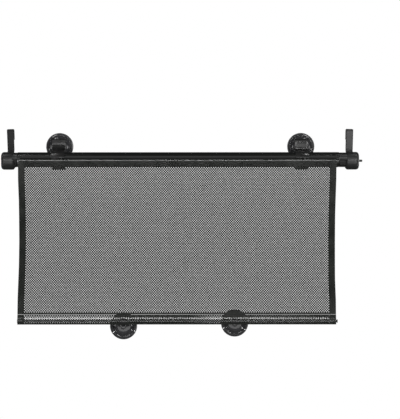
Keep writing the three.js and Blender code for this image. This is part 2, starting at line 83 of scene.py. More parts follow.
# Places read from the frame
tube_low, tube_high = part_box("roller_tube")
AXIS_Y = (tube_low.y + tube_high.y) / 2
film_low, film_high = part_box("screen_film")
FILM_Y = (film_low.y + film_high.y) / 2
roll_low, roll_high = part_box("film_roll")
ROLL_RADIUS = (roll_high.z - roll_low.z) / 2
rail_low, rail_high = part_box("housing")
RAIL_RADIUS = rail_high.z
hem_low, hem_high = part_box("hem_sleeve")
rod_low, rod_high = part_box("hem_rod")
ROD_Z = (rod_low.z + rod_high.z) / 2
ROD_RADIUS = (rod_high.z - rod_low.z) / 2


# Making and placing meshes

def new_object(name, verts, faces, sharp=35):
    mesh = bpy.data.meshes.new(name)
    mesh.from_pydata([tuple(v) for v in verts], [], faces)
    mesh.validate()
    obj = bpy.data.objects.new(name, mesh)
    bpy.context.scene.collection.objects.link(obj)
    smooth(obj, sharp)
    return obj


def smooth(obj, sharp=35):
    obj.data.shade_smooth()
    obj.data.set_sharp_from_angle(angle=math.radians(sharp))


def face_outwards(obj):
    bm = bmesh.new()
    bm.from_mesh(obj.data)
    bmesh.ops.remove_doubles(bm, verts=bm.verts, dist=1e-7)
    bmesh.ops.recalc_face_normals(bm, faces=bm.faces)
    bm.to_mesh(obj.data)
    bm.free()


def apply_modifiers(obj, sharp=35):
    bpy.context.view_layer.update()
    graph = bpy.context.evaluated_depsgraph_get()
    mesh = bpy.data.meshes.new_from_object(obj.evaluated_get(graph))
    obj.modifiers.clear()
    obj.data = mesh
    smooth(obj, sharp)


def rounded(obj, width=EDGE, segments=2, angle=30):
    bevel = obj.modifiers.new("edges", "BEVEL")
    bevel.width = width
    bevel.segments = segments
    bevel.limit_method = "ANGLE"
    bevel.angle_limit = math.radians(angle)
    bevel.use_clamp_overlap = True
    apply_modifiers(obj)
    return obj


def combine(target, others, operation):
    for other in others:
        step = target.modifiers.new("combine", "BOOLEAN")
        step.operation = operation
        step.solver = "EXACT"
        step.object = other
    apply_modifiers(target)
    for other in others:
        bpy.data.objects.remove(other)
    return target


def prism(name, outline, x0, x1):
    """An outline of (y, z) points run from x0 to x1."""
    count = len(outline)
    verts = [(x, y, z) for x in (x0, x1) for y, z in outline]
    faces = [[i, (i + 1) % count, count + (i + 1) % count, count + i] for i in range(count)]
    faces.append(list(range(count - 1, -1, -1)))
    faces.append(list(range(count, 2 * count)))
    obj = new_object(name, verts, faces)
    face_outwards(obj)
    return obj


def slab(name, outline, y0, y1):
    """An outline of (x, z) points run from y0 to y1."""
    count = len(outline)
    verts = [(x, y, z) for y in (y0, y1) for x, z in outline]
    faces = [[i, (i + 1) % count, count + (i + 1) % count, count + i] for i in range(count)]
    faces.append(list(range(count - 1, -1, -1)))
    faces.append(list(range(count, 2 * count)))
    obj = new_object(name, verts, faces)
    face_outwards(obj)
    return obj


def brick(name, x0, x1, y0, y1, z0, z1):
    return slab(name, [(x0, z0), (x1, z0), (x1, z1), (x0, z1)], y0, y1)


def lathe(name, profile, place, steps=ROUND_STEPS, sharp=35):
    """A profile of (radius, distance) pairs turned round an axis. place(u, v, w) gives the point
    for a distance u along the axis and the two offsets v, w across it."""
    verts = []
    rings = []
    for radius, along in profile:
        if radius < 1e-9:
            rings.append([len(verts)])
            verts.append(place(along, 0, 0))
        else:
            rings.append(list(range(len(verts), len(verts) + steps)))
            for i in range(steps):
                turn = 2 * math.pi * i / steps
                verts.append(place(along, radius * math.cos(turn), radius * math.sin(turn)))
    faces = []
    for near, far in zip(rings, rings[1:]):
        for i in range(steps):
            j = (i + 1) % steps
            corners = [near[i % len(near)], near[j % len(near)], far[j % len(far)], far[i % len(far)]]
            kept = [c for k, c in enumerate(corners) if c not in corners[:k]]
            if len(kept) > 2:
                faces.append(kept)
    obj = new_object(name, verts, faces, sharp)
    face_outwards(obj)
    return obj


def along_x(y, z):
    return lambda u, v, w: (u, y + v, z + w)


def along_y(x, z):
    return lambda u, v, w: (x + v, u, z + w)


def on_roller(radius, degrees):
    """A point round the roller: 0 faces the cabin, 90 is up, 180 faces the pane."""
    turn = math.radians(degrees)
    return (AXIS_Y - radius * math.cos(turn), radius * math.sin(turn))


def roller_arc(radius, start, end, step=3):
    count = max(1, round(abs(end - start) / step))
    return [on_roller(radius, lerp(start, end, i / count)) for i in range(count + 1)]


def arc_solid(name, profile, start, end, steps=48):
    """A closed profile of (radius, x) pairs turned part of the way round the roller."""
    count = len(profile)
    verts = []
    for i in range(steps + 1):
        angle = lerp(start, end, i / steps)
        for radius, x in profile:
            y, z = on_roller(radius, angle)
            verts.append((x, y, z))
    faces = []
    for i in range(steps):
        for k in range(count):
            a, b = i * count + k, i * count + (k + 1) % count
            faces.append([a, b, b + count, a + count])
    faces.append(list(range(count)))
    faces.append(list(range(steps * count, (steps + 1) * count)))
    obj = new_object(name, verts, faces)
    face_outwards(obj)
    return obj


def sweep(name, path, section, spread=None):
    """A section of (x, out) points run along a (y, z) path. Out points to the left of the run.
    spread widens the section along the path."""
    verts = []
    count = len(section)
    for i, (y, z) in enumerate(path):
        before, after = path[max(i - 1, 0)], path[min(i + 1, len(path) - 1)]
        run = (Vector(after) - Vector(before)).normalized()
        wide = spread(i / (len(path) - 1)) if spread else 1
        for x, out in section:
            verts.append((x * wide, y - run.y * out, z + run.x * out))
    faces = []
    for i in range(len(path) - 1):
        for k in range(count):
            a, b = i * count + k, i * count + (k + 1) % count
            faces.append([a, b, b + count, a + count])
    faces.append(list(range(count)))
    faces.append(list(range((len(path) - 1) * count, len(path) * count)))
    obj = new_object(name, verts, faces)
    face_outwards(obj)
    return obj


def bend(centre, radius, start, end, steps=12):
    """Points on a (y, z) circle between two angles."""
    points = []
    for i in range(steps + 1):
        turn = math.radians(lerp(start, end, i / steps))
        points.append((centre[0] + radius * math.cos(turn), centre[1] + radius * math.sin(turn)))
    return points


def lean(obj, x, degrees):
    """Leans an object to the side about the roller's level at x."""
    turn = math.radians(degrees)
    for vert in obj.data.vertices:
        across, up = vert.co.x - x, vert.co.z
        vert.co.x = x + across * math.cos(turn) + up * math.sin(turn)
        vert.co.z = up * math.cos(turn) - across * math.sin(turn)


def shift(obj, x=0, y=0, z=0):
    for vert in obj.data.vertices:
        vert.co += Vector((x, y, z))
    return obj


def finish_piece(obj, body, material, slot, *nodes):
    obj.data.materials.clear()
    obj.data.materials.append(material)
    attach(obj, body)
    if nodes:
        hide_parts(*nodes)
    return obj


# Materials

def new_material(name):
    material = bpy.data.materials.new(name)
    material.use_nodes = True
    tree = material.node_tree
    shader = tree.nodes["Principled BSDF"]
    return material, tree, shader


def wire(tree, source, output, target, socket):
    tree.links.new(source.outputs[output], target.inputs[socket])


def noise(tree, scale, detail=3, stretch=(1, 1, 1)):
    place = tree.nodes.new("ShaderNodeTexCoord")
    mapping = tree.nodes.new("ShaderNodeMapping")
    mapping.inputs["Scale"].default_value = stretch
    texture = tree.nodes.new("ShaderNodeTexNoise")
    texture.inputs["Scale"].default_value = scale
    texture.inputs["Detail"].default_value = detail
    wire(tree, place, "Object", mapping, "Vector")
    wire(tree, mapping, "Vector", texture, "Vector")
    return texture


def mix_by(tree, source, output, low, high, target, socket):
    """Sends a value between low and high, led by a texture, to a socket."""
    if isinstance(low, tuple):
        ramp = tree.nodes.new("ShaderNodeValToRGB")
        ramp.color_ramp.elements[0].position = 0.3
        ramp.color_ramp.elements[1].position = 0.7
        ramp.color_ramp.elements[0].color = (*low, 1)
        ramp.color_ramp.elements[1].color = (*high, 1)
        wire(tree, source, output, ramp, "Fac")
        wire(tree, ramp, "Color", target, socket)
    else:
        spread = tree.nodes.new("ShaderNodeMapRange")
        spread.inputs["From Min"].default_value = 0.3
        spread.inputs["From Max"].default_value = 0.7
        spread.inputs["To Min"].default_value = low
        spread.inputs["To Max"].default_value = high
        wire(tree, source, output, spread, "Value")
        wire(tree, spread, "Result", target, socket)


def bump(tree, shader, source, output, height):
    node = tree.nodes.new("ShaderNodeBump")
    node.inputs["Distance"].default_value = height
    node.inputs["Strength"].default_value = 1
    wire(tree, source, output, node, "Height")
    wire(tree, node, "Normal", shader, "Normal")


def moulded(name, dark, light, rough_low, rough_high, grain=0.00002, stretch=(1, 1, 1), specular=0.5):
    """Black plastic: faint mottling, a fine grain and an uneven gloss."""
    material, tree, shader = new_material(name)
    cloud = noise(tree, 60, 3, stretch)
    fine = noise(tree, 1800, 4, stretch)
    mix_by(tree, cloud, "Fac", dark, light, shader, "Base Color")
    mix_by(tree, cloud, "Fac", rough_low, rough_high, shader, "Roughness")
    bump(tree, shader, fine, "Fac", grain)
    shader.inputs["Specular IOR Level"].default_value = specular
    return material


def metal(name, color, rough_low, rough_high, stretch=(1, 1, 1)):
    material, tree, shader = new_material(name)
    streak = noise(tree, 900, 3, stretch)
    mix_by(tree, streak, "Fac", rough_low, rough_high, shader, "Roughness")
    mix_by(tree, streak, "Fac", tuple(c * 0.86 for c in color), color, shader, "Base Color")
    shader.inputs["Metallic"].default_value = 1
    bump(tree, shader, streak, "Fac", 0.00001)
    return material


rail_plastic = moulded("rail_plastic", (0.006, 0.0065, 0.006), (0.010, 0.0105, 0.010), 0.17, 0.23,
                       stretch=(0.02, 1, 1))
cap_plastic = moulded("cap_plastic", (0.010, 0.0105, 0.0105), (0.016, 0.0165, 0.0165), 0.34, 0.40)
hook_plastic = moulded("hook_plastic", (0.017, 0.017, 0.017), (0.024, 0.024, 0.024), 0.40, 0.50)
# Darker, duller copy of the black plastic: its darker colour is painted shade for the left hook, the caps'
# collars and the spigots
dull_painted_shade_plastic = moulded("dull_painted_shade_plastic", (0.010, 0.010, 0.010), (0.015, 0.015, 0.015), 0.48, 0.58,
                       specular=0.22)
bracket_plastic = moulded("bracket_plastic", (0.012, 0.012, 0.012), (0.018, 0.018, 0.018), 0.22, 0.30)
cup_vinyl = moulded("cup_vinyl", (0.028, 0.028, 0.030), (0.040, 0.040, 0.043), 0.07, 0.12, grain=0.000005)
film_vinyl = moulded("film_vinyl", (0.012, 0.0135, 0.012), (0.018, 0.0195, 0.017), 0.13, 0.17, 0.000003)
steel = metal("drawn_steel", (0.52, 0.53, 0.54), 0.22, 0.38, (0.05, 1, 1))
nylon = moulded("black_nylon", (0.016, 0.016, 0.016), (0.026, 0.026, 0.026), 0.45, 0.55)
rubber = moulded("friction_rubber", (0.012, 0.012, 0.012), (0.020, 0.020, 0.020), 0.65, 0.8)


# Rail and caps

RAIL_WALL = 0.0013
RAIL_BACK = 228
RAIL_LEFT = -0.2509
RAIL_RIGHT = 0.2537
LIP_TOP = 0.0073
LIP_FACE = 0.0046
LIP_FOOT = 0.0024
SLEEVE_RADIUS = 0.0130
STEM_RADIUS = 0.0099


def on_circle(radius, z):
    """The cabin-side point of a circle round the roller at height z."""
    return AXIS_Y - math.sqrt(radius * radius - z * z)


def shell_outline(radius, lip_top, lip_face, lip_foot, proud, back):
    inner = radius - RAIL_WALL
    return [
        (on_circle(inner, lip_foot), lip_foot),
        (on_circle(radius, lip_face) + 0.0010, lip_foot + 0.0001),
        (on_circle(radius, lip_face) - 0.0001, lip_face),
        (on_circle(radius, lip_top) - proud, lip_top),
        (on_circle(radius, lip_top + 0.0004), lip_top + 0.0004),
        *roller_arc(radius, math.degrees(math.asin((lip_top + 0.0008) / radius)), back - 1, 2.5),
        on_roller(radius - 0.0003, back),
        *roller_arc(inner, back, math.degrees(math.asin(lip_foot / inner)) + 3, 4),
    ]


def housing():
    outline = shell_outline(RAIL_RADIUS, LIP_TOP, LIP_FACE, LIP_FOOT, 0.0007, RAIL_BACK)
    rail = prism("rail_shell", outline, RAIL_LEFT, RAIL_RIGHT)
    finish_piece(rail, "frame", rail_plastic, "rail", "housing")


def end_cap(side):
    node = f"end_cap_{side}"
    low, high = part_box(node)
    radius = (high.z - low.z) / 2
    sign = -1 if side == "left" else 1
    face = rail_low.x - 0.0003 if side == "left" else rail_high.x + 0.0003
    end = low.x if side == "left" else high.x
    spigot = high.x if side == "left" else low.x
    corner = 0.0044
    collar = 0.0023
    profile = [(0, face + sign * 0.001), (radius - 0.0036, face), (radius - 0.0008, face)]
    profile.append((radius - 0.0002, face + sign * 0.0004))
    profile.append((radius, face + sign * 0.0011))
    profile.append((radius, face + sign * 0.0022))
    profile.append((radius + 0.0001, face + sign * 0.0026))
    for i in range(17):
        turn = math.pi / 2 * i / 16
        profile.append((
            radius - corner + corner * math.cos(turn),
            end - sign * (corner - corner * math.sin(turn)),
        ))
    profile.append((0, end))
    cap = lathe(node + "_shell", profile, along_x(AXIS_Y, 0))
    finish_piece(cap, "frame", cap_plastic, "cap", node)

    # Collar that narrows from the cap to the spigot, open where the rail's sleeve is
    collar_end = face - sign * collar
    ring = arc_solid(node + "_collar", [
        (0.0095, face + sign * 0.0006), (radius - 0.0001, face + sign * 0.0006),
        (radius - 0.0003, face), (0.0108, collar_end), (0.0095, collar_end),
    ], 5, -134)
    # Painted shade: the collar takes the darker, duller plastic for the shade it lies in
    finish_piece(ring, "frame", dull_painted_shade_plastic, "cap", node)

    # Sleeve that the rail slides on
    outline = shell_outline(SLEEVE_RADIUS, 0.0052, 0.0038, 0.0016, 0.0005, RAIL_BACK)
    near, far = sorted((face + sign * 0.0004, (RAIL_LEFT if side == "left" else RAIL_RIGHT) - sign * 0.004))
    sleeve = prism(node + "_sleeve", outline, near, far)
    finish_piece(sleeve, "frame", cap_plastic, "cap", node)

    # Spigot, with a flat and a ridge along its front at the button end
    near, far = sorted((face + sign * 0.0008, spigot))
    if side == "left":
        stem = lathe(node + "_spigot", [(0, near), (STEM_RADIUS, near), (STEM_RADIUS, far), (0, far)],
                     along_x(AXIS_Y, 0))
    else:
        stem = prism(node + "_spigot", [
            (AXIS_Y - 0.0095, 0.0014),
            (AXIS_Y - 0.00985, 0.0004),
            (AXIS_Y - 0.0101, -0.0028),
            (AXIS_Y - 0.0094, -0.0032),
            (AXIS_Y - 0.0090, -0.0046),
            (AXIS_Y - 0.0093, -0.0049),
            (AXIS_Y - 0.0094, -0.0061),
            (AXIS_Y - 0.0074, -0.0066),
            *[on_roller(STEM_RADIUS, angle) for angle in range(-50, -351, -6)],
        ], near, far)
    # Painted shade: the spigot takes the darker, duller plastic for the shade it lies in
    finish_piece(stem, "frame", dull_painted_shade_plastic, "cap", node)


for side in ("left", "right"):
    end_cap(side)
housing()


# Hooks

HOOK_ROOT = 150
HOOK_RAMP = 40
HOOK_LEAN = {"left": -2.0, "right": 1.5}
THROAT = 0.0052


def hook(side):
    node = f"hook_{side}"
    low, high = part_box(node)
    inset = 0.0065 if side == "left" else 0.0060
    x = rail_low.x - 0.0003 - inset if side == "left" else rail_high.x + 0.0003 + inset
    half = 0.0056 if side == "left" else 0.0059
    thick = 0.0016
    top = high.z
    ramp = math.radians(HOOK_RAMP)
    run = Vector((math.cos(ramp), math.sin(ramp)))
    surface = Vector(on_roller(RAIL_RADIUS + 0.0014, HOOK_ROOT))
    root = surface - run * 0.0045
    upright = -thick / 2
    corner = Vector((upright, surface.y + (upright - surface.x) * math.tan(ramp)))
    foot = 0.004
    reach = foot * math.tan((math.pi / 2 - ramp) / 2)
    radius = (THROAT + thick) / 2
    bend_z = top - radius - thick / 2
    path = [tuple(root), tuple(corner - run * reach * 1.6)]
    path += bend((upright - foot, corner.y + reach), foot, HOOK_RAMP - 90, 0, 8)
    path += [(upright, lerp(corner.y + reach, bend_z, t / 6)) for t in range(1, 6)]
    path += bend((upright + radius, bend_z), radius, 180, 0, 20)
    path += [(upright + 2 * radius, bend_z - 0.006), (upright + 2 * radius, bend_z - 0.0118),
             (upright + 2 * radius + 0.0002, bend_z - 0.012)]
    edge, fall = 0.0013, 0.0006
    section = [
        (-half + 0.0002, -thick / 2), (-half, -thick / 2 + 0.0002), (-half, thick / 2 - fall),
        (-half + edge, thick / 2), (half - edge, thick / 2), (half, thick / 2 - fall),
        (half, -thick / 2 + 0.0002), (half - 0.0002, -thick / 2),
    ]
    strap = sweep(node + "_strap", path, section, lambda t: lerp(0.95, 1.0, min(1, t * 2)))
    smooth(strap, 24)
    shift(strap, x)
    lean(strap, x, HOOK_LEAN[side])
    # Painted shade: the left hook takes the darker, duller plastic for the shade it lies in, the right one the
    # plain hook plastic
    finish_piece(strap, "frame", dull_painted_shade_plastic if side == "left" else hook_plastic, "hook", node)


for side in ("left", "right"):
    hook(side)


# Suction cups

CUP_RADIUS = 0.0216
DOME_RADIUS = 0.0163
CUP_HEIGHT = 0.0097


def suction_cup(node, body):
    low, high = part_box(node)
    x, z = (low.x + high.x) / 2, (low.z + high.z) / 2
    depth = high.y - low.y
    profile = [(0, 0.0045)]
    profile += [(0.0199 * t / 8, 0.0045 * (1 - (t / 8) ** 1.5)) for t in range(1, 8)]
    profile += [
        (0.0201, 0), (CUP_RADIUS - 0.0003, 0), (CUP_RADIUS, 0.0003), (CUP_RADIUS, 0.0008),
        (CUP_RADIUS - 0.0004, 0.0012), (0.0202, 0.0014), (0.0197, 0.00155), (0.0195, 0.0017),
        (0.0184, 0.00255), (0.0181, 0.0027), (0.0176, 0.0028), (0.0173, 0.0026), (0.0171, 0.0019),
        (0.0166, 0.0018), (DOME_RADIUS, 0.0022), (DOME_RADIUS, 0.0034), (DOME_RADIUS - 0.0002, 0.0039),
        (DOME_RADIUS - 0.0008, 0.0043), (DOME_RADIUS - 0.0011, 0.0044), (DOME_RADIUS - 0.0024, 0.0054),
        (DOME_RADIUS - 0.0027, 0.0056),
    ]
    for i in range(1, 13):
        turn = math.pi / 2 * i / 12
        profile.append((
            0.0034 + (DOME_RADIUS - 0.0062) * math.cos(turn) ** 0.85,
            0.0056 + (CUP_HEIGHT - 0.0056) * math.sin(turn) ** 0.85,
        ))
    profile += [(0.003, CUP_HEIGHT), (0.003, depth - 0.0025), (0.004, depth - 0.0025),
                (0.004, depth - 0.0008), (0.0034, depth - 0.0002), (0.0028, depth), (0, depth)]
    cup = lathe(node + "_shell", [(r, -h) for r, h in profile], along_y(x, z), steps=128, sharp=50)
    finish_piece(cup, body, cup_vinyl, "suction_cup", node)


for side in ("left", "right"):
    suction_cup(f"top_cup_{side}", "frame")
    suction_cup(f"bottom_cup_{side}", "hem")


# Brackets of the top cups

def cup_bracket(side):
    node = f"cup_bracket_{side}"
    low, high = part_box(node)
    left, right, top = low.x, high.x, high.z
    back, front = -0.0100, -0.0195
    drop = 0.0064 if side == "left" else 0.0028
    outline = [
        (back, 0.008), (back, top + 0.0008), (back - 0.0012, top + 0.0018), (front + 0.0042, top + 0.0014),
        (front + 0.0012, top), (front, top - drop), (front, 0.010), (front + 0.0006, 0.008),
    ]
    box = prism(node + "_box", outline, left, right)
    recess_top = top - drop - 0.0010
    if side == "left":
        cuts = [(0.0120, recess_top, 0.0009, 0.0060)]
    else:
        cuts = [(0.0200, recess_top, 0.0032, 0.0040), (0.0120, 0.0182, -0.001, 0.0045)]
    recesses = []
    for foot, head, margin, depth in cuts:
        recesses.append(prism("recess", [
            (front - 0.001, foot), (front - 0.001, head), (front + 0.0016, head), (front + depth, foot),
        ], left + margin, right - margin))
    room = RAIL_RADIUS + 0.0012
    rail_room = lathe("rail_room", [
        (0, left - 0.01), (room, left - 0.01), (room, right + 0.01), (0, right + 0.01),
    ], along_x(AXIS_Y, 0))
    combine(box, [*recesses, rail_room], "DIFFERENCE")
    rounded(box, 0.0007, 3, 40)
    finish_piece(box, "frame", bracket_plastic, "bracket", node)

    # Clip round the rail, with a nib under each lip
    snug = RAIL_RADIUS + 0.0003
    over = snug + 0.0005
    outer = over + 0.0015
    inner = RAIL_RADIUS - RAIL_WALL
    ring = prism(node + "_ring", [
        *roller_arc(outer, 15, 238, 3),
        on_roller(inner, 238), on_roller(inner, 229.6), on_roller(snug, 229.6),
        *roller_arc(snug, 228, 34, 3),
        *roller_arc(over, 33, 18.4, 3),
        on_roller(inner, 18.4), on_roller(inner, 15),
    ], left, right)
    rounded(ring, 0.0004, 2, 40)
    finish_piece(ring, "frame", bracket_plastic, "bracket", node)


for side in ("left", "right"):
    cup_bracket(side)


# Release button

def release_button():
    node = "release_button"
    low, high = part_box(node)
    radius = 0.0018
    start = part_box("end_cap_right")[1].x - radius
    tip = lathe(node + "_tip", [
        (0, start), (radius, start), (radius, high.x - 0.0009), (radius - 0.0003, high.x - 0.0003),
        (radius - 0.0009, high.x), (0, high.x),
    ], along_x(AXIS_Y, 0), steps=48)
    finish_piece(tip, "button", cap_plastic, "cap", node)
    half = 0.0012
    shank = brick(node + "_shank", low.x, start + 0.001, AXIS_Y - half, AXIS_Y + half, -half, half)
    rounded(shank, 0.0002, 2)
    finish_piece(shank, "button", cap_plastic, "cap", node)


release_button()


# Clips of the bottom cups

def hem_clip(side):
    node = f"hem_clip_{side}"
    low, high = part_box(node)
    left, right = low.x, high.x
    x = (left + right) / 2
    cup_low, cup_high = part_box(f"bottom_cup_{side}")
    cup_z = (cup_low.z + cup_high.z) / 2
    bore = ROD_RADIUS + 0.0003
    outer = bore + 0.002
    mouth = math.degrees(math.asin(0.0016 / outer))
    throat = math.degrees(math.asin(0.0016 / bore))
    centre = (FILM_Y, ROD_Z)
    ring = prism(node + "_ring", [
        *bend(centre, outer, -90 + mouth, 270 - mouth, 40),
        *bend(centre, bore, 270 - throat, -90 + throat, 30),
    ], left, right)
    rounded(ring, 0.0009 if side == "left" else 0.0005, 3, 40)
    finish_piece(ring, "hem", bracket_plastic, "bracket", node)
    plate_back, plate_front = -0.0100, -0.0125
    arm_top = high.z
    arm = brick(node + "_arm", left, right, FILM_Y + 0.0035, plate_back, arm_top - 0.003, arm_top)
    plate = brick("plate", left, right, plate_front, plate_back, cup_z, arm_top)
    eye = lathe("eye", [(0, plate_back), (0.005, plate_back), (0.005, plate_front), (0, plate_front)],
                along_y(x, cup_z), steps=64)
    combine(arm, [plate, eye], "UNION")
    rounded(arm, 0.0004, 2, 40)
    finish_piece(arm, "hem", bracket_plastic, "bracket", node)


for side in ("left", "right"):
    hem_clip(side)


# Film

def perforated(columns, rows, place, hole=HOLE_DIAMETER, pitch_x=HOLE_PITCH_X, pitch_z=HOLE_PITCH_Z,
               left=None, right=None, top=None, bottom=None):
    """A sheet with staggered round holes. Even rows have all columns, odd rows lie between them.
    Lattice points are (s, t), with s across from the first hole and t down from the first row,
    and place turns arrays of them into points. The solid border reaches left, right, top, bottom."""
    reach = hole / 2 / math.cos(math.pi / 8)
    turns = [math.radians(22.5 + 45 * k) for k in range(8)]
    ring = np.array([(math.cos(a) * reach, -math.sin(a) * reach) for a in turns])
    starts = []
    points = []
    count = 0
    for row in range(rows):
        across = columns - row % 2
        starts.append(count)
        s = (np.arange(across) + 0.5 * (row % 2)) * pitch_x
        centres = np.stack([s, np.full(across, row * pitch_z / 2)], axis=1)
        points.append((centres[:, None, :] + ring[None, :, :]).reshape(-1, 2))
        count += across * 8

    def v(row, column, k):
        return starts[row] + column * 8 + k

    extra = []

    def border(s, t):
        extra.append((s, t))
        return count + len(extra) - 1

    half = reach * math.sin(math.radians(22.5))
    depth = (rows - 1) * pitch_z / 2
    width = (columns - 1) * pitch_x
    last = columns - 1
    end = rows - 1
    left_top, left_low, right_top, right_low = {}, {}, {}, {}
    for row in range(0, rows, 2):
        t = row * pitch_z / 2
        left_top[row], left_low[row] = border(left, t - half), border(left, t + half)
        right_top[row], right_low[row] = border(right, t - half), border(right, t + half)
    up_left = [border(c * pitch_x - half, top) for c in range(columns)]
    up_right = [border(c * pitch_x + half, top) for c in range(columns)]
    down_left = [border(c * pitch_x - half, bottom) for c in range(columns)]
    down_right = [border(c * pitch_x + half, bottom) for c in range(columns)]
    corner = [border(left, top), border(right, top), border(left, bottom), border(right, bottom)]

    faces = []
    for row in range(rows):
        odd = row % 2
        for c in range(columns - odd):
            if row < end:
                if odd or c < last:
                    n = c + odd
                    faces.append([v(row, c, 6), v(row + 1, n, 3), v(row + 1, n, 2), v(row, c, 7)])
                if odd or c > 0:
                    n = c if odd else c - 1
                    faces.append([v(row, c, 4), v(row + 1, n, 1), v(row + 1, n, 0), v(row, c, 5)])
            if 0 < row < end and c < columns - odd - 1:
                n = c + odd
                faces.append([
                    v(row + 1, n, 2), v(row + 1, n, 1), v(row, c + 1, 4), v(row, c + 1, 3),
                    v(row - 1, n, 6), v(row - 1, n, 5), v(row, c, 0), v(row, c, 7),
                ])
    for row in range(0, rows, 2):
        faces.append([left_top[row], left_low[row], v(row, 0, 4), v(row, 0, 3)])
        faces.append([v(row, last, 7), right_low[row], right_top[row], v(row, last, 0)])
        if row < end:
            below = row + 2
            faces.append([
                left_low[row], left_top[below], v(below, 0, 3), v(below, 0, 2), v(below, 0, 1),
                v(row + 1, 0, 4), v(row + 1, 0, 3), v(row, 0, 6), v(row, 0, 5), v(row, 0, 4),
            ])
            faces.append([
                right_top[below], right_low[row], v(row, last, 7), v(row, last, 6), v(row, last, 5),
                v(row + 1, last - 1, 0), v(row + 1, last - 1, 7),
                v(below, last, 2), v(below, last, 1), v(below, last, 0),
            ])
    for c in range(columns):
        faces.append([v(0, c, 2), v(0, c, 1), up_right[c], up_left[c]])
        faces.append([down_left[c], down_right[c], v(end, c, 6), v(end, c, 5)])
        if c < last:
            faces.append([
                up_left[c + 1], up_right[c], v(0, c, 1), v(0, c, 0), v(0, c, 7),
                v(1, c, 2), v(1, c, 1), v(0, c + 1, 4), v(0, c + 1, 3), v(0, c + 1, 2),
            ])
            faces.append([
                down_right[c], down_left[c + 1], v(end, c + 1, 5), v(end, c + 1, 4), v(end, c + 1, 3),
                v(end - 1, c, 6), v(end - 1, c, 5), v(end, c, 0), v(end, c, 7), v(end, c, 6),
            ])
    faces.append([corner[0], left_top[0], v(0, 0, 3), v(0, 0, 2), up_left[0]])
    faces.append([v(0, last, 1), v(0, last, 0), right_top[0], corner[1], up_right[last]])
    faces.append([corner[2], down_left[0], v(end, 0, 5), v(end, 0, 4), left_low[end]])
    faces.append([down_right[last], corner[3], right_low[end], v(end, last, 7), v(end, last, 6)])

    flat = np.concatenate([*points, np.array(extra)])
    return place(flat[:, 0], flat[:, 1]), faces


def sheet_object(name, verts, faces):
    mesh = bpy.data.meshes.new(name)
    mesh.from_pydata(verts.tolist(), [], faces)
    obj = bpy.data.objects.new(name, mesh)
    bpy.context.scene.collection.objects.link(obj)
    obj.data.shade_smooth()
    return obj


FILM_WIDTH = film_high.x - film_low.x
FILM_DROP = film_high.z - film_low.z
COLUMNS = 1 + int((FILM_WIDTH - 2 * FILM_BORDER - HOLE_DIAMETER) / HOLE_PITCH_X)
FIELD_WIDTH = (COLUMNS - 1) * HOLE_PITCH_X
FIELD_LEFT = -FIELD_WIDTH / 2
FIELD_TOP = -0.0012
WELD = 0.0023
ROWS = 1 + 2 * int((FILM_DROP + FIELD_TOP - WELD) / HOLE_PITCH_Z)


def waist(x, z):
    """Draws points of the film in from the sides, by the knots above."""
    share = x / FILM_WIDTH + 0.5
    left = np.interp(-z, EDGE_DEPTHS, EDGE_LEFT)
    right = np.interp(-z, EDGE_DEPTHS, EDGE_RIGHT)
    return x + left * (1 - share) - right * share


def screen():
    def place(s, t):
        x = FIELD_LEFT + s
        z = FIELD_TOP - t
        return np.stack([waist(x, z), np.full_like(x, FILM_Y), z], axis=1)

    verts, faces = perforated(
        COLUMNS, ROWS, place,
        left=-FILM_WIDTH / 2 - FIELD_LEFT, right=FILM_WIDTH / 2 - FIELD_LEFT,
        top=FIELD_TOP, bottom=FIELD_TOP + FILM_DROP,
    )
    obj = sheet_object("screen", verts, faces)
    finish_piece(obj, "frame", film_vinyl, "film", "screen_film")
    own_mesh(obj)


def screen_lead():
    """The film between the roll and its hanging part."""
    outer = AXIS_Y - FILM_Y
    thick = 0.0002
    points = [(FILM_Y - thick, -0.0001)] + roller_arc(outer + thick, 0, 70, 3)
    points += roller_arc(outer - thick, 70, 0, 3) + [(FILM_Y + thick, -0.0001)]
    lead = prism("screen_lead", points, -FILM_WIDTH / 2, FILM_WIDTH / 2)
    finish_piece(lead, "frame", film_vinyl, "film")


def film_roll():
    end = roll_high.x + 0.0013
    profile = [
        (ROLL_RADIUS - 0.0005, roll_low.x),
        (ROLL_RADIUS, roll_low.x),
        (ROLL_RADIUS, end - 0.0030),
        (ROLL_RADIUS - 0.0002, end - 0.0030),
        (ROLL_RADIUS - 0.0002, end),
        (ROLL_RADIUS - 0.0006, end),
        (ROLL_RADIUS - 0.0006, roll_low.x),
        (ROLL_RADIUS - 0.0005, roll_low.x),
    ]
    obj = lathe("wound_film", profile, along_x(AXIS_Y, 0))
    finish_piece(obj, "roller", film_vinyl, "film", "film_roll")


# Hem: two layers of the film round the rod, welded at the top and folded at the bottom

HEM_TOP = hem_high.z
HEM_BOTTOM = hem_low.z
HEM_POCKET = 0.0026
HEM_ROWS = 7
HEM_FIRST_ROW = 0.0021


def hem_path(side):
    """Distances down the hem with the (y, z) places of one layer. side is -1 at the front."""
    flat = 0.00035
    points = [(FILM_Y + side * flat, HEM_TOP)]
    meet = math.asin(flat / HEM_POCKET)
    turn = math.degrees(meet)
    points += [(FILM_Y + side * flat, HEM_TOP - 0.004)]
    centre = (FILM_Y, ROD_Z)
    if side < 0:
        points += bend(centre, HEM_POCKET, 90 + turn + 14, 270 - turn - 14, 12)
    else:
        points += bend(centre, HEM_POCKET, 90 - turn - 14, -90 + turn + 14, 12)
    points += [(FILM_Y + side * flat, ROD_Z - 0.0036), (FILM_Y + side * flat * 0.8, HEM_BOTTOM + 0.0003),
               (FILM_Y, HEM_BOTTOM)]
    places = np.array(points)
    steps = np.hypot(*np.diff(places, axis=0).T)
    return np.concatenate([[0], np.cumsum(steps)]), places


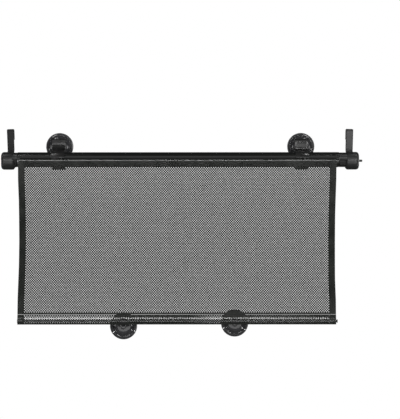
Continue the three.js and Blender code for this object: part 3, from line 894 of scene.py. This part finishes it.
def hem_layer(side, slip):
    down, places = hem_path(side)

    def place(s, t):
        x = FIELD_LEFT + s
        along = t + HEM_FIRST_ROW
        y = np.interp(along, down, places[:, 0])
        z = np.interp(along, down, places[:, 1])
        inner = np.clip((FIELD_WIDTH / 2 + 0.004 - np.abs(x)) / 0.006, 0, 1)
        return np.stack([waist(x + slip(x) * inner, z), y, z], axis=1)

    verts, faces = perforated(
        COLUMNS, HEM_ROWS, place,
        left=-FILM_WIDTH / 2 - FIELD_LEFT, right=FILM_WIDTH / 2 - FIELD_LEFT,
        top=-HEM_FIRST_ROW, bottom=down[-1] - HEM_FIRST_ROW,
    )
    name = "hem_front" if side < 0 else "hem_back"
    obj = sheet_object(name, verts, faces)
    finish_piece(obj, "hem", film_vinyl, "film", "hem_sleeve")


def hem():
    hem_layer(-1, lambda x: 0 * x)
    left, right = -0.106, -0.080
    knots = [-0.25, left, right, 0.02, 0.055, 0.075, 0.10, 0.125, 0.25]
    slips = [0, 0, 0.0011, 0.0013, 0.0003, 0.0004, 0.0013, 0.0009, 0.0014]
    hem_layer(1, lambda x: np.interp(x, knots, slips))
    rod = lathe("rod", [(0, rod_low.x), (ROD_RADIUS - 0.0003, rod_low.x), (ROD_RADIUS, rod_low.x + 0.0003),
                        (ROD_RADIUS, rod_high.x - 0.0003), (ROD_RADIUS - 0.0003, rod_high.x), (0, rod_high.x)],
                along_x(FILM_Y, ROD_Z), steps=48)
    finish_piece(rod, "hem", steel, "steel", "hem_rod")
    for side in ("left", "right"):
        node = f"rod_plug_{side}"
        low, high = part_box(node)
        sign = -1 if side == "left" else 1
        end = low.x if side == "left" else high.x
        inside = high.x if side == "left" else low.x
        head = end - sign * 0.001
        plug = lathe(node + "_shell", [
            (0, inside), (0.002, inside), (0.002, head), (0.0028, head), (0.0028, head + sign * 0.0006),
            (0.0022, end), (0, end),
        ], along_x(FILM_Y, ROD_Z), steps=48)
        finish_piece(plug, "hem", hook_plastic, "hook", node)


screen()
screen_lead()
film_roll()
hem()


# Inner pieces keep the CAD's meshes

INNER = {
    "roller_tube": steel,
    "spring_plug": nylon,
    "spring_shaft": steel,
    "return_spring": steel,
    "spring_collar": nylon,
    "brake_plug": nylon,
    "brake_cone": rubber,
    "brake_spring": steel,
}
for node, material in INNER.items():
    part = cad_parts[node]
    part.data.materials.clear()
    part.data.materials.append(material)
    smooth(part, 30)

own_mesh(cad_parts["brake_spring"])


# Camera, light and stage

# Each light's name, power, width, height, place and the point that it faces
LIGHTS = [
    ("key", 20, 2.0, 0.08, (0.05, -2.5, 0.39), (0, 0, 0)),
    ("side", 10, 0.9, 0.9, (1.25, -2.1, 0.3), (0.1, 0, -0.05)),
    ("table", 10, 2.4, 0.6, (0.2, -1.7, -0.72), (0, 0, 0)),
    ("glint_left", 4, 0.08, 0.8, (-0.75, -0.35, 1.25), (0, 0, 0)),
    ("glint_right", 4, 0.08, 0.8, (0.75, -0.35, 1.25), (0, 0, 0)),
    ("spot_left", 1.6, 0.08, 0.08, (-1.0, -0.4, -0.9), (0, 0, -0.1)),
    ("spot_right", 1.6, 0.08, 0.08, (1.0, -0.4, -0.9), (0, 0, -0.1)),
    ("back_left", 22, 0.8, 0.9, (-2.4, 1.3, -0.1), (0, 0, -0.1)),
    ("back_right", 22, 0.8, 0.9, (2.4, 1.3, -0.1), (0, 0, -0.1)),
]


def area_light(name, power, size, place, target, size_y=None):
    data = bpy.data.lights.new(name, "AREA")
    data.energy = power
    data.shape = "RECTANGLE"
    data.size = size
    data.size_y = size_y or size
    obj = bpy.data.objects.new(name, data)
    bpy.context.scene.collection.objects.link(obj)
    obj.location = place
    obj.rotation_mode = "QUATERNION"
    obj.rotation_quaternion = (Vector(target) - Vector(place)).to_track_quat("-Z", "Y")
    return obj


def camera():
    data = bpy.data.cameras.new("camera")
    data.sensor_fit = "HORIZONTAL"
    data.sensor_width = SENSOR_WIDTH
    data.lens = SENSOR_WIDTH * CAMERA_DISTANCE / VIEW_WIDTH
    obj = bpy.data.objects.new("camera", data)
    bpy.context.scene.collection.objects.link(obj)
    obj.location = (CAMERA_X, AXIS_Y - CAMERA_DISTANCE, CAMERA_Z)
    obj.rotation_euler = (math.pi / 2, CAMERA_ROLL, 0)
    bpy.context.scene.camera = obj


def studio():
    scene = bpy.context.scene
    scene.view_settings.view_transform = "Standard"
    world = bpy.data.worlds.new("studio")
    scene.world = world
    world.use_nodes = True
    tree = world.node_tree
    back = tree.nodes["Background"]
    seen = tree.nodes.new("ShaderNodeBackground")
    seen.inputs["Color"].default_value = (1, 1, 1, 1)
    seen.inputs["Strength"].default_value = 1
    path = tree.nodes.new("ShaderNodeLightPath")
    mix = tree.nodes.new("ShaderNodeMixShader")

    # Light off the studio's walls: a soft ring round the camera, dark behind it and overhead
    place = tree.nodes.new("ShaderNodeTexCoord")
    split = tree.nodes.new("ShaderNodeSeparateXYZ")
    flip = tree.nodes.new("ShaderNodeMath")
    flip.operation = "MULTIPLY"
    flip.inputs[1].default_value = -1
    ring = tree.nodes.new("ShaderNodeValToRGB")
    ring.color_ramp.interpolation = "EASE"
    stops = [(0.0, 0.03), (0.60, 0.03), (0.74, RING_LIGHT), (0.84, RING_LIGHT), (0.93, 0.02), (1.0, 0.02)]
    for _ in stops[2:]:
        ring.color_ramp.elements.new(0.5)
    for element, (position, _) in zip(ring.color_ramp.elements, stops):
        element.position = position
    for element, (_, level) in zip(ring.color_ramp.elements, stops):
        element.color = (level, level, level, 1)
    wire(tree, place, "Generated", split, "Vector")
    wire(tree, split, "Y", flip, 0)
    wire(tree, flip, 0, ring, "Fac")
    wire(tree, ring, "Color", back, "Color")
    wire(tree, path, "Is Camera Ray", mix, 0)
    tree.links.new(back.outputs[0], mix.inputs[1])
    tree.links.new(seen.outputs[0], mix.inputs[2])
    tree.links.new(mix.outputs[0], tree.nodes["World Output"].inputs["Surface"])
    for name, power, width, height, place, target in LIGHTS:
        area_light(name, power, width, place, target, height)


def floor():
    """Pale floor under the shade. It looks white and throws little light back."""
    plane = new_object("floor", [(-3, -3, FLOOR_Z), (3, -3, FLOOR_Z), (3, 3, FLOOR_Z), (-3, 3, FLOOR_Z)],
                       [[0, 1, 2, 3]])
    material, tree, shader = new_material("pale_floor")
    shader.inputs["Base Color"].default_value = (0.16, 0.16, 0.16, 1)
    shader.inputs["Roughness"].default_value = 0.9
    glow = tree.nodes.new("ShaderNodeEmission")
    glow.inputs["Color"].default_value = (1, 1, 1, 1)
    glow.inputs["Strength"].default_value = 1
    path = tree.nodes.new("ShaderNodeLightPath")
    mix = tree.nodes.new("ShaderNodeMixShader")
    wire(tree, path, "Is Camera Ray", mix, 0)
    tree.links.new(shader.outputs[0], mix.inputs[1])
    tree.links.new(glow.outputs[0], mix.inputs[2])
    tree.links.new(mix.outputs[0], tree.nodes["Material Output"].inputs["Surface"])
    plane.data.materials.append(material)


camera()
studio()
floor()
